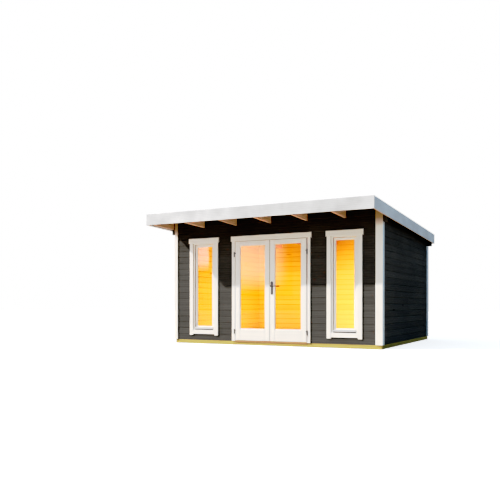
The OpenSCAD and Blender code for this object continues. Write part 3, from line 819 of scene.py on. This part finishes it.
low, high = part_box("door_threshold")
nose_y, eased_y = low.y + nose_reach, low.y + nose_arris
outline = [
    (low.y, low.z + nose_arris), (eased_y, low.z), (nose_y, low.z), (nose_y, base_top),
    (high.y, base_top), (high.y, high.z), (eased_y, high.z), (low.y, high.z - nose_arris),
]
timber = Timber()
timber.strip(outline, low.x, high.x, along_x)
timber.piece("threshold_plank", [oiled], ["door_threshold"])

# Casings: flat painted boards round the doorway and windows, screwed over the gap between frame and logs.
# The header is thicker, reaches past the side boards, and has a small bevel along its top and its ends.
# The edges that face the opening are darker as painted shade, and so is the strip that carries the right
# door's hinges.

header_h = 0.098
header_over = 0.020
bevel = 0.006
door_casing_w = 0.068
window_casing_w = 0.076
apron_h = 0.080
casing_drop = 0.022
hinge_strip_w = 0.024
tight_gap = 0.0003
side_screws = 5
side_screw_end = 0.06
header_screws = 4
header_screw_end = 0.08
reveal_shade_paint = trim_paint("white paint with painted reveal shade", (0.66, 0.56, 0.50), (0.63, 0.53, 0.47))
# The hinge strip beside the right door is darker: painted shade from the leaf.
shaded_paint = trim_paint("hinge strip with painted shade", (0.60, 0.53, 0.52), (0.57, 0.50, 0.49))


def upright(x0, x1, y, z0, z1):
    """Corners of an upright rectangle."""
    return [Vector((x, y, z)) for x, z in ((x0, z0), (x1, z0), (x1, z1), (x0, z1))]


def header_board(timber, low, high):
    """A board against the wall at high.y, its front at low.y bevelled back along the top and both ends."""
    timber.solid()
    back = upright(low.x, high.x, high.y, low.z, high.z)
    rim = upright(low.x, high.x, low.y + bevel, low.z, high.z)
    front = upright(low.x + bevel, high.x - bevel, low.y, low.z, high.z - bevel)
    foot = [back[0], back[1], rim[1], front[1], front[0], rim[0]]
    faces = [front, back[::-1], foot]
    for k in (1, 2, 3):
        m = (k + 1) % 4
        faces += [[back[k], back[m], rim[m], rim[k]], [rim[k], rim[m], front[m], front[k]]]
    for face in faces:
        timber.face(face, [(p.x, p.z + p.y) for p in face], 0)


def casing(node, side_w, apron, strip_w=0):
    """Side boards, header and apron. The right side board may have a separate strip next to the opening,
    darker as painted shade.
    """
    low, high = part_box(node)
    face, wall = high.y - trim_t, high.y
    header_z = high.z - header_h
    side_top = header_z - board_gap
    left, right = low.x + header_over, high.x - header_over
    timber = Timber()
    for start, inwards in ((left, 1), (right - side_w, -1)):
        board_x, end = start, start + side_w
        if strip_w and inwards < 0:
            board_x = start + strip_w + tight_gap
            timber.board((start, face, low.z), (start + strip_w, wall, side_top), 2, fine_edge, finish=2)
        # The edge that faces the opening takes the painted reveal shade.
        timber.board((board_x, face, low.z), (end, wall, side_top), 2, trim_edge, faces={(0, inwards): 1})
        for rise in spaced(low.z, header_z, side_screw_end, side_screws):
            screw(timber, ((board_x + end) / 2, face, rise), (0, -1, 0))
    if apron:
        foot = low.z + casing_drop
        apron_x = (left + side_w + board_gap, right - side_w - board_gap)
        timber.board((apron_x[0], face, foot), (apron_x[1], wall, foot + apron_h), 0, trim_edge)
    header_board(timber, Vector((low.x, low.y, header_z)), high)
    for x in spaced(low.x, high.x, header_screw_end, header_screws):
        screw(timber, (x, low.y, header_z + header_h / 2), (0, -1, 0))
    finishes = [white_paint, reveal_shade_paint] + ([shaded_paint] if strip_w else [])
    timber.piece(node + "_boards", finishes, [node])


casing("door_casing", door_casing_w, False, hinge_strip_w)
casing("left_window_casing", window_casing_w, True)
casing("right_window_casing", window_casing_w, True)

# Door leaves: painted stiles and rails with tenoned corners round one tall pane of clear glass.
# Thin moulded beads hold the pane on both faces, and a grey seal runs up each upright edge as painted gap
# shade.
# On the left leaf it has a bulb that fills most of the gap between the leaves, darkening it as painted
# shade.

hinge_stile_w = 0.108
lock_stile_w = 0.102
top_rail_h = 0.084
bottom_rail_h = 0.218
bead_w = 0.012
bead_lip_w = 0.35 * bead_w
bead_rise = 0.003
bead_set = 0.004
bead_grain = 0.01
tenon_gap = 0.0004
seal_t = 0.0004
seal_y = (0.003, 0.026)
seal_end = 0.004
bulb_w = 0.006
bulb_y = (0.0012, 0.009)
bulb_edge = 0.001


def shade_rubber(name, roughness, dark, pale):
    seal = Finish(name, roughness, 0.2)
    seal.give("Base Color", seal.mix(seal.noise(90, 2), dark, pale))
    return seal.material


gap_shade_rubber = shade_rubber("grey seal as painted gap shade", 0.8, (0.20, 0.175, 0.16), (0.24, 0.21, 0.195))


def bead_ring(timber, light, glass_y, face_y):
    """Four mitred beads round an opening (x0, x1, z0, z1), from the glass out to just behind the face."""
    timber.solid()
    x0, x1, z0, z1 = light
    out = 1 if face_y > glass_y else -1
    lip, foot = face_y - out * bead_set, glass_y + out * bead_rise
    section = ((0, glass_y), (bead_w, glass_y), (bead_w, foot), (bead_lip_w, lip), (0, lip))
    rings = [upright(x0 + w, x1 - w, y, z0 + w, z1 - w) for w, y in section]
    for i, (a, b) in enumerate(zip(rings, rings[1:] + rings[:1])):
        near, far = i * bead_grain, i * bead_grain + bead_grain
        for k in range(4):
            m = (k + 1) % 4
            length = (a[m] - a[k]).length
            timber.face([a[k], a[m], b[m], b[k]], [(0, near), (length, near), (length, far), (0, far)], 0)


def framed(timber, low, high, widths, glass):
    """Stiles, rails and beads round a pane. Widths are those of the left, right, foot and top bars."""
    left_w, right_w, foot_h, top_h = (w - bead_w for w in widths)
    bars(timber, low, high, left_w, right_w, foot_h, top_h, tenon_gap, beam_edge)
    light = (low.x + left_w, high.x - right_w, low.z + foot_h, high.z - top_h)
    bead_ring(timber, light, glass[0].y - tight_gap, low.y)
    bead_ring(timber, light, glass[1].y + tight_gap, high.y)


def door_leaf(side, left_w, right_w):
    low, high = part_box(side + "_door_leaf")
    body = side + "_door"
    timber = Timber()
    framed(timber, low, high, (left_w, right_w, bottom_rail_h, top_rail_h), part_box(side + "_door_glass"))
    timber.piece(side + "_leaf_joinery", [white_paint], [side + "_door_leaf"], body)
    # The seals darken the gaps at the leaves' edges: painted shade.
    seals = [(x - seal_t, x + seal_t, seal_y, seal_t / 4) for x in (low.x, high.x)]
    if side == "left":
        seals.append((high.x - seal_t, high.x + bulb_w, bulb_y, bulb_edge))
    timber = Timber()
    for x0, x1, depth, edge in seals:
        seal_low = (x0, low.y + depth[0], low.z + seal_end)
        timber.board(seal_low, (x1, low.y + depth[1], high.z - seal_end), 2, edge)
    timber.piece(side + "_leaf_shade_seals", [gap_shade_rubber], body=body)


door_leaf("left", hinge_stile_w, lock_stile_w)
door_leaf("right", lock_stile_w, hinge_stile_w)

# Window frames and sashes: painted softwood bars, the sash set in the frame behind the casing.
# The frame passes through the log wall, its inner edges are darker as painted shade, and the sash is glazed
# like the doors.
# At the foot of the sash, a drip rail of bare aluminium sheds the rain, over a black strip that is painted
# shade.

frame_w = 0.058
sash_w = 0.042
sash_foot_h = 0.048
sash_set = 0.020
drip_h = 0.020
drip_fall = 0.005
drip_round = 0.001
drip_groove = ((0.003, 0), (0.004, 0.003), (0.007, 0.003), (0.008, 0))
lip_room = 0.001
shade_strip_t = 0.006
shade_strip_h = 0.015
black_shade_rubber = shade_rubber("black painted shade", 0.75, (0.014, 0.014, 0.014), (0.024, 0.024, 0.024))


def drawn_metal(name, dark, pale, metallic, scale, stretch, smooth, rough):
    """Bare metal with fine drawn or brushed lines."""
    metal = Finish(name, rough, 0.5)
    lines = metal.noise(scale, 2, stretch)
    metal.give("Base Color", metal.mix(lines, dark, pale))
    metal.give("Metallic", metallic)
    metal.give("Roughness", metal.remap(lines, 0.3, 0.7, smooth, rough))
    return metal.material


aluminium = drawn_metal("mill aluminium", (0.44, 0.445, 0.45), (0.54, 0.545, 0.55), 0.25, 40, (0.02, 1, 8),
                        0.36, 0.50)


def window(side):
    low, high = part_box(side + "_window_frame")
    foot = low.z + frame_w + board_gap
    timber = Timber()
    # The frame's inner edges take the painted reveal shade.
    bars(timber, low, high, *[frame_w] * 4, board_gap, frame_edge, inner=1)
    finishes = [white_paint, reveal_shade_paint]
    timber.piece(side + "_window_frame_bars", finishes, [side + "_window_frame"])

    low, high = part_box(side + "_window_sash")
    lip, face = low.y, front_low.y + sash_set
    sash_low = Vector((low.x, face, foot))
    timber = Timber()
    framed(timber, sash_low, high, (sash_w, sash_w, sash_foot_h, sash_w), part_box(side + "_window_glass"))
    timber.piece(side + "_window_sash_bars", [white_paint], [side + "_window_sash"])

    nose, back = foot + drip_h - drip_fall, front_low.y - lip_room
    outline = [(face, foot + drip_h), (lip + drip_round * 1.5, nose + drip_round), (lip, nose - drip_round)]
    outline += [(lip, low.z + drip_round), (lip + drip_round, low.z)]
    outline += [(lip + reach, low.z + rise) for reach, rise in drip_groove]
    outline += [(back, low.z), (back, foot), (face, foot)]
    timber = Timber()
    timber.strip(outline, low.x, high.x, along_x)
    timber.piece(side + "_window_drip_rail", [aluminium])

    # A black strip under the drip rail: painted shade.
    timber = Timber()
    seal_low = (low.x, front_low.y - shade_strip_t, low.z - shade_strip_h)
    timber.board(seal_low, (high.x, front_low.y, low.z - board_gap), 0, fine_edge)
    timber.piece(side + "_window_shade_strip", [black_shade_rubber])


window("left")
window("right")

# Glass: clear panes in the doors and windows.
# Faint waves in the surface bend what is behind them a little.

clear = Finish("clear glass", 0.0, 0.5)
clear.give("Base Color", (0.97, 0.985, 0.98, 1))
clear.give("Transmission Weight", 1.0)
clear.give("IOR", 1.45)
clear.bump(clear.noise(2.0, 1.0), 0.0004, 0.15)


def dress(node, material):
    """Gives a CAD node that stays as it is its material."""
    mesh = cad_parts[node].data
    mesh.materials.clear()
    mesh.materials.append(material)


for node in ("left_door_glass", "right_door_glass", "left_window_glass", "right_window_glass"):
    dress(node, clear.material)

# Hinges, handle plates and lever: brushed steel. The leaves' knuckles lift off the pins on the casing.
# The lever turns on a spindle through the right leaf, with a long plate on each face.
# A lock cylinder stands a little proud of each plate, below the lever; its keyway is a black inset, painted
# shade.

brushing = (60, (1, 1, 12), 0.38, 0.52)
steel = drawn_metal("dark steel", (0.10, 0.098, 0.096), (0.17, 0.168, 0.165), 0.5, *brushing)
worn_steel = drawn_metal("hand-worn steel", (0.040, 0.036, 0.034), (0.070, 0.064, 0.060), 0.3, *brushing)
for side in ("left", "right"):
    dress(side + "_door_hinge_pins", steel)
    dress(side + "_door_hinge_knuckles", steel)
dress("door_handle_plates", steel)
dress("door_lever", worn_steel)

plate_screw_in = 0.018
lock_rise = 0.064
cylinder = ((0.0085, -0.001), (0.0085, 0.0020), (0.0079, 0.0025))
# Half width, heights, depths and arris of the lock's tail and of the keyway in the cylinder's face.
cylinder_tail = (0.005, (-0.024, -0.004), (-0.001, 0.0022), 0.0012)
keyway = (0.0009, (-0.005, 0.005), (0.0020, 0.0028), 0.0002)

low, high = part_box("door_handle_plates")
lock_x = (low.x + high.x) / 2
lock_z = low.z + lock_rise
timber = Timber()
for face, out in ((low.y, -1), (high.y, 1)):
    for z in (low.z + plate_screw_in, high.z - plate_screw_in):
        screw(timber, (lock_x, face, z), (0, out, 0))
    turned(timber, cylinder, (lock_x, face, lock_z), (0, out, 0), sides=24)
    # The keyway is drawn in black, painted shade in the slot.
    for finish, (half_w, heights, depths, edge) in enumerate((cylinder_tail, keyway)):
        near, far = sorted(face + out * depth for depth in depths)
        corner_low = (lock_x - half_w, near, lock_z + heights[0])
        timber.board(corner_low, (lock_x + half_w, far, lock_z + heights[1]), 2, edge, finish=finish)
timber.piece("lock_cylinder", [steel, black_shade_rubber], body="right_door")

# Studio: a pale floor, a warm key light from high on the front left, a cool even surround and room lamps.
# Two soft cards in front of the house give the left panes a pale sheen, and nothing else sees them.
# The camera stands low, level and to the right of the doors, with the picture raised by its shift.

reach = 60
floor_glow = 0.64
shade_x = (1.6, 2.6)
shade_y = (-2.8, -1.6)
far_x = (2.4, 5.0)
card_y, card_top, card_strength = -14.0, 9.0, 3.8


def stage_sheet(name, corners, material, in_view=True):
    """A sheet of the studio with four corners. Out of view, only its mirror image shows."""
    mesh = bpy.data.meshes.new(name)
    mesh.from_pydata(corners, [], [(0, 1, 2, 3)])
    mesh.materials.append(material)
    sheet = added(name, mesh)
    sheet.visible_camera = sheet.visible_diffuse = sheet.visible_shadow = in_view


# The light that the floor throws back is warm, strongest beside the right wall and weaker further out.
pale = Finish("pale floor", 0.9, 0.0)
seen = pale.node("LightPath", {})["Is Camera Ray"]
seen_tint = pale.mix(pale.noise(0.4, 2), (0.80, 0.80, 0.80), (0.82, 0.82, 0.82))
spot = pale.position()
beside = pale.math("MULTIPLY", pale.remap(spot["X"], *shade_x), pale.remap(spot["Y"], *shade_y))
by_wall = pale.mix(pale.remap(spot["X"], *far_x), (0.72, 0.60, 0.47), (0.26, 0.225, 0.175))
bounce = pale.mix(beside, (0.54, 0.48, 0.41), by_wall)
pale.give("Base Color", pale.mix(seen, bounce, seen_tint))
pale.give("Emission Color", (1, 1, 1, 1))
pale.give("Emission Strength", pale.remap(seen, 0, 1, 0, floor_glow))
floor_corners = [(x, y, 0) for x, y in ((-reach, -reach), (reach, -reach), (reach, reach), (-reach, reach))]
stage_sheet("studio_floor", floor_corners, pale.material)


def sheen_card(name, left, fade_x, rise_z, colour):
    """An upright card from x = left, fading over the heights rise_z at its foot and fade_x on its right."""
    glow = bpy.data.materials.new(name)
    glow.use_nodes = True
    glow.node_tree.nodes.clear()
    nodes = Nodes(glow.node_tree)
    spot = nodes.position()
    rise = nodes.remap(spot["Z"], *rise_z, 0, card_strength, interpolation_type="SMOOTHSTEP")
    side = nodes.remap(spot["X"], *fade_x[::-1], interpolation_type="SMOOTHSTEP")
    light = nodes.node("Emission", {"Color": (*colour, 1), "Strength": nodes.math("MULTIPLY", rise, side)})
    nodes.node("OutputMaterial", {0: light[0]})
    stage_sheet(name, upright(left, fade_x[1], card_y, rise_z[0], card_top), glow, in_view=False)


sheen_card("window_sheen_card", -16.0, (-8.95, -8.88), (2.10, 2.65), (1.0, 0.70, 0.98))
sheen_card("door_sheen_card", -7.6, (-6.2, -5.0), (1.1, 2.2), (1.0, 0.68, 0.76))

tint_reach = 0.7
mirror_strength = 0.35
world = bpy.data.worlds.new("studio surround")
bpy.context.scene.world = world
world.use_nodes = True
sky = Nodes(world.node_tree)
surround = world.node_tree.nodes["Background"]
facing = sky.node("SeparateXYZ", {0: sky.node("TexCoord", {})["Generated"]})
tint = sky.mix(sky.remap(facing["X"], -tint_reach, tint_reach), (0.68, 0.68, 0.67), (0.36, 0.465, 0.57))
sky.feed(surround.inputs["Color"], tint)
ray = sky.node("LightPath", {})
sky.feed(surround.inputs["Strength"], sky.remap(ray["Is Singular Ray"], 0, 1, 1, mirror_strength))
backdrop = sky.node("Background", {"Color": (1, 1, 1, 1)})
chosen = sky.node("MixShader", {0: ray["Is Camera Ray"], 1: surround.outputs[0], 2: backdrop[0]})
sky.feed(world.node_tree.nodes["World Output"].inputs[0], chosen[0])

key_way = (1.53, 1.0, -1.44)
key = bpy.data.lights.new("key", "SUN")
key.energy = 3.8
key.angle = math.radians(1.2)
key.color = (1.0, 0.95, 0.88)
added("key", key).rotation_euler = Vector(key_way).to_track_quat("-Z", "Y").to_euler()

lamp_inset = 0.15
lamp_z = 0.70
# X, tilt, turn and power of each lamp.
room_lamps = (
    (-0.94, 95, 0, 8), (0.94, 90, 3, 20.5), (1.88, 90, 12, 18.5), (0.94, 94, 42, 7.2), (1.88, 91, 70, 20)
)
for i, (x, tilt, turn, power) in enumerate(room_lamps):
    lamp = bpy.data.lights.new(f"room_lamp_{i}", "AREA")
    lamp.shape = "RECTANGLE"
    lamp.size, lamp.size_y = 0.16, 0.6
    lamp.energy = power
    lamp.color = (1.0, 0.52, 0.17)
    lamp.spread = math.radians(56)
    lamp_spot = added(f"room_lamp_{i}", lamp)
    lamp_spot.location = (x, front_low.y + lamp_inset, lamp_z)
    lamp_spot.rotation_euler = (math.radians(tilt), 0, math.radians(turn))

image_px = 500
focal_px = 615.7
horizon_px = 305.0
camera_spot = (4.896, -11.802, 0.739)
camera_turn = math.radians(27.9)
camera = bpy.data.cameras.new("camera")
camera.sensor_width = 36
camera.lens = focal_px / image_px * camera.sensor_width
camera.shift_y = (horizon_px - image_px / 2) / image_px
camera.clip_end = 200
view = added("camera", camera)
view.location = camera_spot
view.rotation_euler = (math.pi / 2, 0, camera_turn)
bpy.context.scene.camera = view

# The tone curve deepens the darks and lifts the middle tones.
tones = bpy.context.scene.view_settings
tones.view_transform = "Standard"
tones.use_curve_mapping = True
darks = ((0.02, 0.0006), (0.03, 0.0020), (0.043, 0.0120), (0.08, 0.081))
middles = ((0.20, 0.265), (0.42, 0.62), (0.80, 0.84))
for x, y in darks + middles:
    tones.curve_mapping.curves[3].points.new(x, y)
tones.curve_mapping.update()
